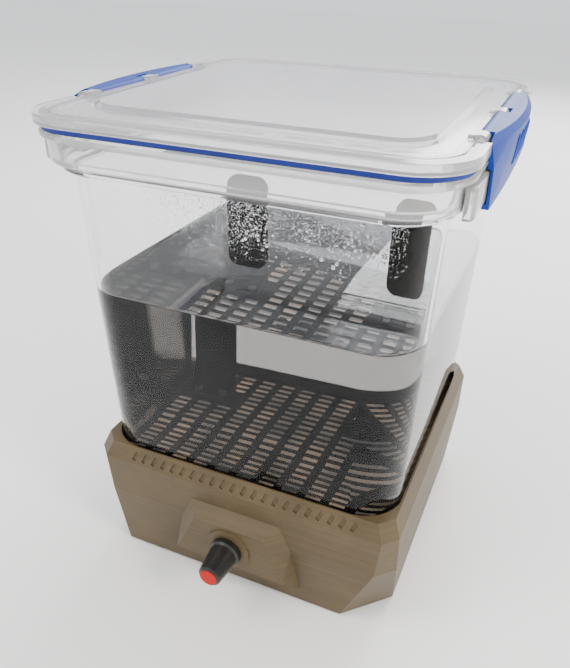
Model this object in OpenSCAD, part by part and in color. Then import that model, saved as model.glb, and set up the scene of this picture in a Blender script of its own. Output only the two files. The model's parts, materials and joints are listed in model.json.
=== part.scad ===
// Resin wash station: a printed base with a magnetic stirring drive under a clear
// clip-lid tub, which holds solvent and a lift-out perforated basket.
// Millimetres, +Z up, front towards -Y. The origin is under the middle of the whole object.

/* [Base] */
// Width and depth of the base at its widest line
base_w = 150; // [146:1:160]
// Height of the base's top edge
base_top = 63.4; // [62:0.2:70]
// Height of the widest line, where the top bevel starts
bevel_start = 55.5; // [50:0.5:57]
// Height of the fold below which the walls taper inwards
fold_height = 35.4; // [35:0.2:40]
// How far the walls come in at the bottom edge
bottom_inset = 2.8; // [1:0.2:4]
// Bottom chamfer of the front right corner
big_chamfer = 19.6; // [10:0.2:22]
// Chamfer of the other bottom corners
small_chamfer = 9; // [7:0.5:12]

/* [Knob] */
// Height of the knob's axis
knob_height = 29.5; // [28:0.5:30]
// Length of the knob
knob_length = 17; // [15:0.5:20]
// Diameter of the knob's skirt
knob_skirt_d = 15; // [14.5:0.5:18]

/* [Tub] */
// Half width of the tub wall just under the neck
tub_half = 75; // [75:0.1:75.4]
// Draft of the tub wall on each side, in degrees
tub_draft = 2.08; // [1.9:0.02:2.2]
// Wall thickness of the tub
tub_wall = 1.6; // [1.4:0.1:1.8]
// Height of the tub's rim
rim_height = 210.2; // [210:0.1:210.4]

/* [Lid] */
// Half width of the lid
lid_half = 84; // [83.5:0.1:84.4]
// Half width of the raised centre panel
panel_half_x = 66; // [60:0.5:68]
// Half depth of the raised centre panel
panel_half_y = 61; // [56:0.5:63]

/* [Clips] */
// Half length of a clip along its hinge
clip_half_length = 47.5; // [46:0.5:50]
// How far a clip's outer face stands from the middle
clip_reach = 89.4; // [88:0.1:93]

/* [Basket] */
// Half width of the perforated plate
plate_half = 64.5; // [62:0.5:64.5]
// Height of the plate's top face
plate_top = 60; // [58:0.5:62]
// Pitch of the slots across the plate
slot_pitch_x = 11.3; // [10.5:0.1:11.3]
// Pitch of the slots from front to back
slot_pitch_y = 6.65; // [6:0.05:6.7]
// Length of a slot
slot_length = 7.2; // [5:0.2:7.4]
// Width of a slot
slot_width = 3.6; // [2.8:0.2:4.2]
// Height of the top of the basket's arms
arm_top = 167; // [120:1:190]

/* [Drive] */
// Side of the square fan that turns the magnets
fan_size = 120; // [119:0.5:120.5]
// Spacing of the fan's mounting holes
fan_hole_pitch = 105; // [105]
// Radius of the stirrer's vanes
stirrer_r = 30; // [24:1:34]

/* [Hidden] */
eps = 0.01;
round_fn = 64;
half = base_w / 2;
frame_y = 8.5;            // puts the origin under the middle of knob tip to lid edge

// base
foot_lift = 1;            // the shell's lower edge above the surface
rim_inset = 3.1;
upper_chamfer = 6;
fold_chamfer = 8;
pocket_half = 71.2;
pocket_r = 19;
deck_bottom = 32;
deck_top = 35;
recess_top = 3;
recess_wall = 2.6;
cavity_wall = 4.8;
cover_gap = 0.3;
boss_face = 82;           // distance of the boss's front facet from the middle
boss_wall = 2.2;
pad_d = 22;
pad_h = 0.8;

// speed control
pot_d = 16.5;
pot_front = boss_face - boss_wall;
pot_length = 6.7;
pot_room_d = 20.4;
bushing_d = 6.9;
bushing_end = boss_face + 4.6;
shaft_r = 3;
knob_start = boss_face + pad_h + 0.4;
knob_end = knob_start + knob_length;
knob_room_d = 12.4;
knob_room_depth = 4.5;
cap_d = 8;

// power inlet
jack_x = 45;
jack_z = 18;
jack_face = half;
jack_d = 7.8;

// fan
fan_bottom = 3.2;
fan_top = 28.2;
fan_bore_r = 58;
hub_r = 20;
rotor_top = 27.7;
blade_r = 56.3;
carrier_top = 30.7;
magnet_d = 12;
magnet_x = 15;
magnet_h = 2.2;

// tub
tub_bottom = deck_top + 0.3;
tub_floor = tub_bottom + tub_wall;
neck_step = 194;
neck_step_2 = 197.5;
neck_half = 80.6;
neck_wall = 1.7;
lip_half = 83;
lip_bottom = 207.4;
corner_r = 18;
flange_half = 84.3;
flange_length = 68;
flange_bottom = 196;
flange_top = 207;

// lid
seal_bottom = rim_height + 0.1;
lid_bottom = 212.6;
seal_half = 82;
seal_width = 5;
lamina_top = 213.4;
lid_top = 216.6;
shelf_top = 216;
panel_top = 217.8;
plug_half = 76.2;
plug_bottom = 205;
notch_half = 77.5;        // lid edge between the hinge lugs

// clips
pin_x = 80;
pin_z = 215.8;
pin_r = 1.2;
knuckle_r = 2.2;
run_gap = 0.05;
lug_half = 3.5;
lug_y = 42.5;
clip_bottom = 194;
clip_top = 217.8;
clip_wall = 2;

// basket
plate_h = 3;
slot_columns = 11;
slot_rows = 19;
plate_r = 6;
leg_t = 3.4;
leg_l = 14;
leg_x = 4.5 * slot_pitch_x;   // between two columns of slots
leg_y = 50;
arm_x = 45;
arm_y = 33;
arm_w = 22.5;
arm_t = 3;
arm_foot_depth = 15;
arm_foot_h = 3;

// ---------- helpers ----------

// Rounded rectangle of half sizes hx, hy
module rounded(hx, hy, r) {
    square([2 * hx, 2 * (hy - r)], center = true);
    square([2 * (hx - r), 2 * hy], center = true);
    for (sx = [-1, 1], sy = [-1, 1])
        translate([sx * (hx - r), sy * (hy - r)])
            circle(r = r, $fn = round_fn);
}

// Slab of a rounded square between two heights
module slab(h, r, z0, z1) {
    translate([0, 0, z0])
        linear_extrude(z1 - z0)
            rounded(h, h, r);
}

// Square frame of a rounded section between two heights
module ring(outer, inner, r, z0, z1) {
    translate([0, 0, z0])
        linear_extrude(z1 - z0)
            difference() {
                rounded(outer, outer, r);
                rounded(inner, inner, r - (outer - inner));
            }
}

// Outline of the base: half size h, front right chamfer c, the others d
module base_outline(h, c, d) {
    polygon([
        [-h + d, -h], [h - c, -h], [h, -h + c], [h, h - d],
        [h - d, h], [-h + d, h], [-h, h - d], [-h, -h + d]
    ]);
}

// Thin slice of the base outline, for hulls
module base_slice(h, c, d, z) {
    translate([0, 0, z])
        linear_extrude(eps)
            base_outline(h, c, d);
}

// Cylinder along -Y that starts at distance from the middle and ends at far
module front_rod(d, near, far, z = knob_height, x = 0, fn = round_fn) {
    translate([x, -near, z])
        rotate([90, 0, 0])
            cylinder(d = d, h = far - near, $fn = fn);
}

// The same part mirrored to the left
module on_side(side) {
    if (side > 0) children();
    else mirror([1, 0, 0]) children();
}

module at_frame() {
    translate([0, frame_y, 0]) children();
}

// Half size of the tub's outer wall at height z
function tub_at(z) = tub_half - (neck_step - z) * tan(tub_draft);

// Chamfer of an outline moved in by t
function inner_chamfer(c, t) = c - t * (2 - sqrt(2));

// ---------- base ----------

module base_body() {
    bottom_half = half - bottom_inset;
    hull() {
        base_slice(bottom_half, big_chamfer, small_chamfer, foot_lift);
        base_slice(half, fold_chamfer, fold_chamfer, fold_height);
        base_slice(half, upper_chamfer, upper_chamfer, bevel_start);
        base_slice(half - rim_inset, upper_chamfer, upper_chamfer, base_top - eps);
    }
    // faceted boss that carries the knob
    hull() {
        for (s = [-1, 1]) {
            boss_point(s * 23.2, half - 1, 46.5);
            boss_point(s * 28.3, half - 1, fold_height);
            boss_point(s * 33, half - 3, 8);
            boss_point(s * 17, boss_face, 42);
            boss_point(s * 27.6, boss_face, 19);
        }
    }
    front_rod(pad_d, boss_face - 1, boss_face + pad_h);
    // flat seat for the power inlet
    translate([jack_x, half - 6, jack_z])
        rotate([-90, 0, 0])
            cylinder(d = 17, h = 6, $fn = round_fn);
}

module boss_point(x, d, z) {
    translate([x - 0.05, -d, z - 0.05])
        cube(0.1);
}

module base_cavities() {
    bottom_half = half - bottom_inset;
    recess = bottom_half - recess_wall;
    cavity = bottom_half - cavity_wall;
    // recess for the bottom cover
    translate([0, 0, -1])
        linear_extrude(recess_top + 1)
            base_outline(recess, inner_chamfer(big_chamfer, recess_wall),
                         inner_chamfer(small_chamfer, recess_wall));
    // room for the drive
    translate([0, 0, foot_lift])
        linear_extrude(deck_bottom - foot_lift)
            base_outline(cavity, inner_chamfer(big_chamfer, cavity_wall),
                         inner_chamfer(small_chamfer, cavity_wall));
    // pocket for the tub
    slab(pocket_half, pocket_r, deck_top, base_top + 5);
    // room for the speed control behind the boss
    front_rod(pot_room_d, 72.4, pot_front);
    translate([-9, -76.4, 16])
        cube([18, 12, knob_height - 16]);
}

// Slanted bars engraved along the front bevel
module bevel_bars() {
    bars = 22;
    pitch = 5.2;
    slope = atan(rim_inset / (base_top - bevel_start));
    for (i = [0 : bars - 1])
        translate([(i - (bars - 1) / 2) * pitch, -half, bevel_start])
            rotate([-slope, 0, 0])
                rotate([0, 24, 0])
                    translate([-0.9, -1, 1.9])
                        cube([1.8, 1.6, 4.4]);
}

module base_shell() {
    color([0.53, 0.47, 0.38])
        at_frame()
            difference() {
                union() {
                    difference() {
                        base_body();
                        base_cavities();
                        bevel_bars();
                    }
                    // bosses that the fan hangs from
                    for (sx = [-1, 1], sy = [-1, 1])
                        translate([sx, sy, 0] * fan_hole_pitch / 2 + [0, 0, fan_top])
                            cylinder(d = 9, h = deck_bottom - fan_top + 1, $fn = 48);
                    cover_posts(6.4, recess_top, 16);
                    board_posts();
                }
                front_rod(7.2, pot_front - 1, boss_face + pad_h + 1);
                translate([jack_x, half - 12, jack_z])
                    rotate([-90, 0, 0])
                        cylinder(d = jack_d + 0.2, h = 14, $fn = 48);
                for (sx = [-1, 1], sy = [-1, 1])
                    translate([sx, sy, 0] * fan_hole_pitch / 2 + [0, 0, fan_top - 1])
                        cylinder(d = 3, h = 5.8, $fn = 32);
                cover_bores(2.5, 0, 12);
                board_bores(2, 5);
            }
}

// Posts beside the fan that take the cover's screws
module cover_posts(w, z0, h) {
    for (sx = [-1, 1], sy = [-1, 1])
        translate([sx * 64.4 - w / 2, sy * 36 - w / 2, z0])
            cube([w, w, h]);
}

module cover_bores(d, z0, h) {
    for (sx = [-1, 1], sy = [-1, 1])
        translate([sx * 64.2, sy * 36, z0])
            cylinder(d = d, h = h, $fn = 32);
}

module board_posts() {
    for (x = [-52, -22])
        translate([x, -65.4, 16])
            rotate([90, 0, 0])
                cylinder(d = 5, h = 3, $fn = 32);
}

module board_bores(d, depth) {
    for (x = [-52, -22])
        translate([x, -65.4 + 1, 16])
            rotate([90, 0, 0])
                cylinder(d = d, h = depth, $fn = 32);
}

module bottom_cover() {
    h = half - bottom_inset - recess_wall - cover_gap;
    t = recess_wall + cover_gap;
    color([0.45, 0.41, 0.34])
        at_frame()
            difference() {
                translate([0, 0, foot_lift])
                    linear_extrude(recess_top - foot_lift)
                        base_outline(h, inner_chamfer(big_chamfer, t), inner_chamfer(small_chamfer, t));
                // air slots under the fan
                translate([0, 0, foot_lift - 1])
                    linear_extrude(5)
                        difference() {
                            for (r = [20 : 9 : 47])
                                difference() {
                                    circle(r = r + 5, $fn = 72);
                                    circle(r = r, $fn = 72);
                                }
                            square([120, 6], center = true);
                            square([6, 120], center = true);
                        }
                cover_bores(3.2, 0, 5);
                cover_bores(6, 0, 1.9);
                feet(12.3, 0, foot_lift + 0.7);
            }
}

module feet(d, z0, z1) {
    for (sx = [-1, 1], sy = [-1, 1])
        translate([sx * 53.5, sy * 53.5, z0])
            cylinder(d = d, h = z1 - z0, $fn = 48);
}

module rubber_feet() {
    color([0.08, 0.08, 0.08])
        at_frame()
            feet(12, 0, foot_lift + 0.7);
}

module cover_screws() {
    color("silver")
        at_frame() {
            cover_bores(5.6, foot_lift + 0.1, 0.8);
            cover_bores(2.5, foot_lift + 0.5, 8);
        }
}

// ---------- fan and magnets ----------

module fan_frame() {
    color([0.12, 0.12, 0.13])
        at_frame()
            difference() {
                union() {
                    difference() {
                        translate([0, 0, fan_bottom])
                            linear_extrude(fan_top - fan_bottom)
                                rounded(fan_size / 2, fan_size / 2, 6);
                        translate([0, 0, fan_bottom - 1])
                            cylinder(r = fan_bore_r, h = fan_top, $fn = 96);
                        // side lightening between the flanges
                        for (a = [0 : 90 : 270])
                            rotate([0, 0, a])
                                translate([-42, -fan_size / 2 - 1, fan_bottom + 4])
                                    cube([84, 1.8, fan_top - fan_bottom - 8]);
                    }
                    // motor plate on four struts
                    translate([0, 0, fan_bottom]) {
                        cylinder(r = 19, h = 2.4, $fn = round_fn);
                        cylinder(r = 4.4, h = 17, $fn = 48);
                        for (a = [45 : 90 : 315])
                            rotate([0, 0, a])
                                translate([15, -1.8, 0])
                                    cube([fan_bore_r - 14, 3.6, 2]);
                    }
                }
                for (sx = [-1, 1], sy = [-1, 1])
                    translate([sx, sy, 0] * fan_hole_pitch / 2)
                        cylinder(d = 4.3, h = fan_top + 1, $fn = 32);
                translate([0, 0, fan_bottom + 1.4])
                    cylinder(r = 3, h = 20, $fn = 48);
            }
}

module fan_screws() {
    color("silver")
        at_frame()
            for (sx = [-1, 1], sy = [-1, 1])
                translate([sx, sy, 0] * fan_hole_pitch / 2) {
                    translate([0, 0, fan_bottom - 0.1])
                        difference() {
                            cylinder(d = 4.2, h = 2.2, $fn = 32);
                            translate([0, 0, -0.5])
                                cylinder(d = 2, h = 1.5, $fn = 6);
                        }
                    translate([0, 0, fan_bottom + 2])
                        cylinder(d = 3, h = fan_top - fan_bottom + 2, $fn = 32);
                }
}

module fan_bearing() {
    color([0.72, 0.58, 0.3])
        at_frame()
            translate([0, 0, fan_bottom + 1.5])
                difference() {
                    cylinder(r = 2.98, h = 15.4, $fn = 48);
                    translate([0, 0, -1])
                        cylinder(r = 1.5 + run_gap, h = 20, $fn = 48);
                }
}

module stator_coils() {
    color([0.7, 0.38, 0.2])
        at_frame()
            translate([0, 0, fan_bottom + 4.8])
                difference() {
                    union() {
                        cylinder(r = 7, h = 10, $fn = 48);
                        for (a = [0 : 90 : 270])
                            rotate([0, 0, a]) {
                                translate([6, -2, 1])
                                    cube([7, 4, 8]);
                                intersection() {
                                    translate([11, -8, 2])
                                        cube([6, 16, 6]);
                                    difference() {
                                        translate([0, 0, 2])
                                            cylinder(r = 15.4, h = 6, $fn = round_fn);
                                        translate([0, 0, 1])
                                            cylinder(r = 13, h = 8, $fn = round_fn);
                                    }
                                }
                            }
                    }
                    translate([0, 0, -1])
                        cylinder(r = 4.5, h = 14, $fn = 48);
                }
}

module fan_rotor() {
    color([0.16, 0.16, 0.17])
        at_frame() {
            difference() {
                translate([0, 0, 7])
                    cylinder(r = hub_r, h = rotor_top - 7, $fn = round_fn);
                translate([0, 0, 6])
                    cylinder(r = 17.6, h = rotor_top - 7.6, $fn = round_fn);
                translate([0, 0, 5])
                    cylinder(r = 1.5, h = rotor_top - 6, $fn = 48);
            }
            for (i = [0 : 6])
                rotate([0, 0, i * 360 / 7])
                    intersection() {
                        difference() {
                            translate([0, 0, 8.5])
                                cylinder(r = blade_r, h = 17, $fn = 96);
                            cylinder(r = hub_r - 0.5, h = 40, $fn = round_fn);
                        }
                        translate([hub_r - 2, 0, 17])
                            rotate([38, 0, 0])
                                translate([0, -15, -0.7])
                                    cube([40, 30, 1.4]);
                    }
        }
}

module rotor_shaft() {
    color("silver")
        at_frame()
            translate([0, 0, fan_bottom + 1.8])
                cylinder(r = 1.5, h = rotor_top - fan_bottom - 3, $fn = 48);
}

module rotor_magnet_ring() {
    color([0.25, 0.25, 0.27])
        at_frame()
            translate([0, 0, 8.5])
                difference() {
                    cylinder(r = 17.6, h = 14, $fn = round_fn);
                    translate([0, 0, -1])
                        cylinder(r = 16, h = 16, $fn = round_fn);
                }
}

module magnet_carrier() {
    color([0.53, 0.47, 0.38])
        at_frame()
            difference() {
                translate([0, 0, rotor_top])
                    cylinder(r = 23, h = carrier_top - rotor_top, $fn = round_fn);
                for (s = [-1, 1])
                    translate([s * magnet_x, 0, carrier_top - magnet_h])
                        cylinder(d = magnet_d + 0.1, h = 5, $fn = 48);
            }
}

module drive_magnets() {
    color([0.78, 0.78, 0.8])
        at_frame()
            for (s = [-1, 1])
                translate([s * magnet_x, 0, carrier_top - magnet_h])
                    cylinder(d = magnet_d, h = magnet_h + 0.2, $fn = 48);
}

// ---------- speed control and power ----------

module speed_board() {
    color([0.1, 0.35, 0.2])
        at_frame()
            difference() {
                translate([-56, -65.3, 5])
                    cube([38, 1.5, 22]);
                for (x = [-52, -22])
                    translate([x, -60, 16])
                        rotate([90, 0, 0])
                            cylinder(d = 2.4, h = 10, $fn = 32);
            }
}

module board_parts() {
    face = -63.8;
    at_frame() {
        color([0.1, 0.4, 0.75])
            translate([-48, face, 6])
                cube([14, 3.3, 6]);
        color([0.15, 0.15, 0.15])
            for (x = [-46, -38])
                translate([x, face, 14])
                    cube([5, 1.6, 5]);
        color([0.75, 0.75, 0.78])
            translate([-33, face, 20])
                cube([8, 3, 5]);
    }
}

module board_screws() {
    color("silver")
        at_frame()
            for (x = [-52, -22])
                translate([x, -63.7, 16]) {
                    rotate([90, 0, 0])
                        cylinder(d = 2, h = 5, $fn = 32);
                    rotate([-90, 0, 0])
                        cylinder(d = 3.8, h = 1.2, $fn = 32);
                }
}

function unit(v) = v / norm(v);

// Direction of a route at its point i
function heading(p, i) = unit(p[min(i + 1, len(p) - 1)] - p[max(i - 1, 0)]);

// Ring of n points round a route's point i
function wire_ring(p, i, r, n) =
    let (t = heading(p, i), u = unit(cross(t, [1, 0.35, 0.2])), v = cross(t, u))
    [for (k = [0 : n - 1]) p[i] + r * (cos(360 * k / n) * u + sin(360 * k / n) * v)];

// Tube of radius r along a route
module wire(p, r, n = 8) {
    last = len(p) - 1;
    polyhedron(
        points = [for (i = [0 : last]) each wire_ring(p, i, r, n)],
        faces = concat(
            [[for (k = [0 : n - 1]) k]],
            [for (i = [0 : last - 1], k = [0 : n - 1])
                [i * n + k, (i + 1) * n + k, (i + 1) * n + (k + 1) % n, i * n + (k + 1) % n]],
            [[for (k = [n - 1 : -1 : 0]) last * n + k]]
        ),
        convexity = 6
    );
}

module wiring() {
    color([0.6, 0.1, 0.1])
        at_frame() {
            // inlet to board, round the left side of the fan
            wire([[40, 62.6, 24], [38, 63.4, 29], [34, 63.8, 29.8], [-58, 63.8, 29.8],
                  [-62, 62, 29.8], [-63.8, 58, 29.8], [-63.8, -52, 29.8], [-62, -58, 29.8],
                  [-56, -61.2, 29.6], [-48, -61.3, 28.4], [-44, -61.3, 25], [-44, -61.3, 13]], 0.8);
            // board to speed control
            wire([[-38, -61.3, 13], [-38, -61.3, 26], [-35, -62, 29], [-14, -63.4, 29],
                  [-6.5, -64.2, 28.2], [-5.5, -69, 24]], 0.8);
        }
}

module pot_body() {
    color([0.3, 0.32, 0.34])
        at_frame()
            difference() {
                union() {
                    front_rod(pot_d, pot_front - 0.1 - pot_length, pot_front - 0.1);
                    front_rod(bushing_d, pot_front - 1, bushing_end);
                    for (x = [-5, 0, 5])
                        translate([x - 0.6, -75.8, 17.5])
                            cube([1.2, 0.8, 6]);
                }
                front_rod(2 * (shaft_r + run_gap), pot_front - 5, bushing_end + 1);
            }
}

module pot_washer() {
    color("silver")
        at_frame()
            difference() {
                front_rod(11.6, boss_face + pad_h, boss_face + pad_h + 0.4);
                front_rod(7.2, boss_face, boss_face + 3);
            }
}

module pot_nut() {
    start = boss_face + pad_h + 0.4;
    color("silver")
        at_frame()
            difference() {
                front_rod(9.6 / cos(30), start, start + 1.8, fn = 6);
                front_rod(bushing_d, start - 1, start + 3);
            }
}

module pot_shaft() {
    color([0.8, 0.8, 0.82])
        at_frame()
            front_rod(2 * shaft_r, pot_front - 4.6, knob_end - 3);
}

module control_knob() {
    r_skirt = knob_skirt_d / 2;
    r_base = r_skirt - 0.9;
    r_tip = r_skirt - 2.2;
    color([0.07, 0.07, 0.07])
        at_frame()
            difference() {
                translate([0, -knob_start, knob_height])
                    rotate([90, 0, 0])
                        rotate_extrude($fn = 72)
                            polygon([
                                [0, 0], [r_skirt, 0], [r_skirt, 2.4], [r_base, 3.4],
                                [r_tip, knob_length - 1], [r_tip - 1, knob_length], [0, knob_length]
                            ]);
                front_rod(knob_room_d, knob_start - 1, knob_start + knob_room_depth);
                front_rod(2 * shaft_r, knob_start, knob_end - 3);
                front_rod(cap_d, knob_end - 1.2, knob_end + 1);
            }
}

module knob_cap() {
    color([0.84, 0.2, 0.06])
        at_frame()
            translate([0, -knob_end + 1.2, knob_height])
                rotate([90, 0, 0])
                    rotate_extrude($fn = 48)
                        polygon([[0, 0], [cap_d / 2, 0], [cap_d / 2, 1.2], [cap_d / 2 - 0.5, 1.7], [0, 1.8]]);
}

module power_jack() {
    color([0.1, 0.1, 0.1])
        at_frame()
            translate([jack_x, jack_face, jack_z])
                rotate([90, 0, 0]) {
                    difference() {
                        union() {
                            translate([0, 0, -1.5])
                                cylinder(d = 11, h = 1.5, $fn = 48);
                            translate([0, 0, -0.5])
                                cylinder(d = jack_d, h = 13, $fn = 48);
                        }
                        translate([0, 0, -2])
                            cylinder(d = 5.6, h = 11, $fn = 48);
                    }
                    translate([0, 0, -0.5])
                        cylinder(d = 2, h = 10, $fn = 32);
                }
}

module jack_nut() {
    color("silver")
        at_frame()
            translate([jack_x, 67.3, jack_z])
                rotate([90, 0, 0])
                    difference() {
                        cylinder(d = 11 / cos(30), h = 2.2, $fn = 6);
                        translate([0, 0, -1])
                            cylinder(d = jack_d, h = 5, $fn = 48);
                    }
}

// ---------- tub ----------

// Thin slice of the tub outline, for hulls
module tub_slice(h, r, z) {
    translate([0, 0, z])
        linear_extrude(eps)
            rounded(h, h, r, $fn = 32);
}

module tub_solid(inset, z0, z1, foot) {
    hull() {
        tub_slice(tub_at(z0) - inset - foot, corner_r - foot, z0);
        tub_slice(tub_at(z0 + foot) - inset, corner_r, z0 + foot);
        tub_slice(tub_at(z1) - inset, corner_r + 2 - inset, z1);
    }
}

module tub_flange(side) {
    on_side(side)
        difference() {
            translate([neck_half - 2, -flange_length, flange_bottom])
                cube([flange_half - neck_half + 2, 2 * flange_length, flange_top - flange_bottom]);
            // open underneath, between the neck and the skirt
            translate([neck_half - 3, -flange_length + 1.5, flange_bottom - 1])
                cube([flange_half - neck_half + 1.5, 2 * flange_length - 3, flange_top - flange_bottom - 0.6]);
        }
}

module tub() {
    color([0.88, 0.9, 0.92, 0.4])
        at_frame()
            difference() {
                union() {
                    tub_solid(0, tub_bottom, neck_step + 1, 4);
                    slab(tub_half + 2.8, corner_r + 2, neck_step, neck_step_2 + 1);
                    slab(neck_half, corner_r + 2, neck_step_2, rim_height - 1);
                    slab(lip_half, corner_r + 3, lip_bottom, rim_height);
                    for (s = [-1, 1])
                        tub_flange(s);
                }
                tub_solid(tub_wall, tub_floor, neck_step + 1.6, 4);
                slab(tub_half + 2.8 - neck_wall, corner_r + 1, neck_step + 1.6, neck_step_2 + 2);
                slab(neck_half - neck_wall, corner_r, neck_step_2 + 1.6, rim_height + 1);
            }
}

// ---------- stirrer ----------

module stirrer_pivot() {
    color([0.2, 0.2, 0.21])
        at_frame()
            translate([0, 0, tub_floor]) {
                cylinder(r = 14, h = 1.6, $fn = round_fn);
                cylinder(r = 2, h = 12, $fn = 48);
            }
}

module stirrer() {
    color([0.2, 0.2, 0.21])
        at_frame()
            difference() {
                union() {
                    translate([0, 0, tub_floor + 1.8])
                        cylinder(r = 23, h = 3.4, $fn = round_fn);
                    translate([0, 0, tub_floor + 1.8])
                        cylinder(r = 6, h = 10.6, $fn = 48);
                    for (i = [0 : 3])
                        rotate([0, 0, i * 90 + 45])
                            translate([4, -1, tub_floor + 1.8])
                                cube([stirrer_r - 4, 2, 8.4]);
                }
                translate([0, 0, tub_floor])
                    cylinder(r = 2 + run_gap, h = 20, $fn = 48);
                for (s = [-1, 1])
                    translate([s * magnet_x, 0, tub_floor + 2.4])
                        cylinder(d = magnet_d, h = 6, $fn = 48);
            }
}

module stirrer_magnets() {
    color([0.78, 0.78, 0.8])
        at_frame()
            for (s = [-1, 1])
                translate([s * magnet_x, 0, tub_floor + 2.4])
                    cylinder(d = magnet_d, h = 2.6, $fn = 48);
}

// ---------- basket ----------

module basket_plate() {
    slot_bottom = plate_top - plate_h;
    color([0.1, 0.1, 0.11])
        at_frame()
            difference() {
                union() {
                    translate([0, 0, slot_bottom])
                        linear_extrude(plate_h)
                            difference() {
                                rounded(plate_half, plate_half, plate_r);
                                for (i = [0 : slot_columns - 1], j = [0 : slot_rows - 1])
                                    slot((i - (slot_columns - 1) / 2) * slot_pitch_x,
                                         (j - (slot_rows - 1) / 2) * slot_pitch_y);
                            }
                    for (s = [-1, 1])
                        arm_pad(s);
                }
                for (s = [-1, 1])
                    arm_bores(s, 2.5, slot_bottom - 3, plate_top + 1);
            }
}

// Four blades under the plate, between its columns of slots
module basket_legs() {
    color([0.1, 0.1, 0.11])
        at_frame()
            for (sx = [-1, 1], sy = [-1, 1])
                translate([sx * leg_x - leg_t / 2, sy * leg_y - leg_l / 2, tub_floor + 0.1])
                    cube([leg_t, leg_l, plate_top - plate_h - tub_floor - 0.1]);
}

module slot(x, y) {
    under_arm = abs(abs(x) - arm_x) < arm_w / 2 + 2
        && abs(y - arm_y - arm_t / 2 + arm_foot_depth / 2) < arm_foot_depth / 2 + 1;
    if (!under_arm)
        translate([x, y])
            square([slot_length, slot_width], center = true);
}

// Solid patch of the plate under each arm
module arm_pad(s) {
    translate([s * arm_x - arm_w / 2 - 1, arm_y + arm_t / 2 - arm_foot_depth - 1, plate_top - plate_h])
        cube([arm_w + 2, arm_foot_depth + 2, plate_h]);
}

module arm_bores(s, d, z0, z1) {
    for (dx = [-7, 7])
        translate([s * arm_x + dx, arm_y + arm_t / 2 - arm_foot_depth + 4, z0])
            cylinder(d = d, h = z1 - z0, $fn = 32);
}

// Flat upright strip with a foot and a slanted gusset
module basket_arm(s) {
    back = arm_y + arm_t / 2;
    color([0.1, 0.1, 0.11])
        at_frame()
            difference() {
                union() {
                    translate([s * arm_x - arm_w / 2, back - arm_t, plate_top])
                        cube([arm_w, arm_t, arm_top - plate_top - 6]);
                    // rounded top
                    translate([s * arm_x, back, 0])
                        rotate([90, 0, 0])
                            linear_extrude(arm_t) {
                                translate([-arm_w / 2 + 6, plate_top])
                                    square([arm_w - 12, arm_top - plate_top]);
                                for (dx = [-1, 1])
                                    translate([dx * (arm_w / 2 - 6), arm_top - 6])
                                        circle(r = 6, $fn = 48);
                            }
                    translate([s * arm_x - arm_w / 2, back - arm_foot_depth, plate_top])
                        cube([arm_w, arm_foot_depth, arm_foot_h]);
                    for (dx = [-arm_w / 2, arm_w / 2 - 2])
                        translate([s * arm_x + dx, back - arm_t, plate_top + arm_foot_h])
                            rotate([90, 0, 90])
                                linear_extrude(2)
                                    polygon([[0, -eps], [0, 12], [-8, -eps]]);
                }
                arm_bores(s, 3.2, plate_top - 1, plate_top + 5);
            }
}

module left_basket_arm() {
    basket_arm(-1);
}

module right_basket_arm() {
    basket_arm(1);
}

module basket_screws() {
    color("silver")
        at_frame()
            for (s = [-1, 1]) {
                arm_bores(s, 2.5, plate_top - plate_h + 0.4, plate_top + arm_foot_h + 0.5);
                arm_bores(s, 4.4, plate_top + arm_foot_h, plate_top + arm_foot_h + 1.8);
            }
}

// ---------- lid ----------

// Frame of half sizes hx, hy and width w, as a groove or a ridge
module panel_ring(hx, hy, r, w, z0, z1) {
    translate([0, 0, z0])
        linear_extrude(z1 - z0)
            difference() {
                rounded(hx, hy, r);
                rounded(hx - w, hy - w, r - w);
            }
}

module hinge_lugs(side) {
    on_side(side)
        for (y = [-lug_y, 0, lug_y])
            translate([0, y - lug_half, 0]) {
                translate([notch_half - 2, 0, lamina_top - eps])
                    cube([pin_x - notch_half + 2, 2 * lug_half, pin_z + knuckle_r - lamina_top]);
                translate([pin_x, 0, pin_z])
                    rotate([-90, 0, 0])
                        cylinder(r = knuckle_r, h = 2 * lug_half, $fn = 48);
            }
}

module hinge_bore(side, r, y0, y1) {
    on_side(side)
        translate([pin_x, y0, pin_z])
            rotate([-90, 0, 0])
                cylinder(r = r, h = y1 - y0, $fn = 48);
}

module lid() {
    notch_y = clip_half_length + 1.5;
    color([0.9, 0.92, 0.94, 0.4])
        at_frame()
            difference() {
                union() {
                    difference() {
                        slab(lid_half, corner_r + 3, lid_bottom, lid_top);
                        // room for the clips and their hinges
                        for (s = [-1, 1])
                            on_side(s)
                                translate([notch_half, -notch_y, lamina_top])
                                    cube([20, 2 * notch_y, 10]);
                        for (s = [-1, 1])
                            on_side(s)
                                translate([lip_half - 0.6, -notch_y, lid_bottom - 1])
                                    cube([20, 2 * notch_y, 10]);
                        // lower shelf, with a step and two groove lines
                        slab(73.4, corner_r - 3, shelf_top, lid_top + 1);
                        panel_ring(79.6, 79.6, corner_r, 1.2, lid_top - 0.6, lid_top + 1);
                        panel_ring(panel_half_x + 3.4, panel_half_y + 3.4, 15, 2.4, shelf_top - 0.9, lid_top + 1);
                        // open below, inside the plug
                        slab(plug_half - 1.6, corner_r - 4, lid_bottom - 1, shelf_top - 1.8);
                    }
                    // raised centre panel
                    translate([0, 0, shelf_top - 1])
                        linear_extrude(panel_top - shelf_top + 1)
                            rounded(panel_half_x, panel_half_y, 13);
                    ring(plug_half, plug_half - 1.6, corner_r - 2, plug_bottom, lid_bottom + 1);
                    for (s = [-1, 1])
                        hinge_lugs(s);
                }
                // underside of the panel
                translate([0, 0, shelf_top - 2])
                    linear_extrude(2)
                        rounded(panel_half_x - 1.8, panel_half_y - 1.8, 11);
                for (s = [-1, 1])
                    hinge_bore(s, pin_r, -lug_y - lug_half - 1, lug_y + lug_half + 1);
            }
}

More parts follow.
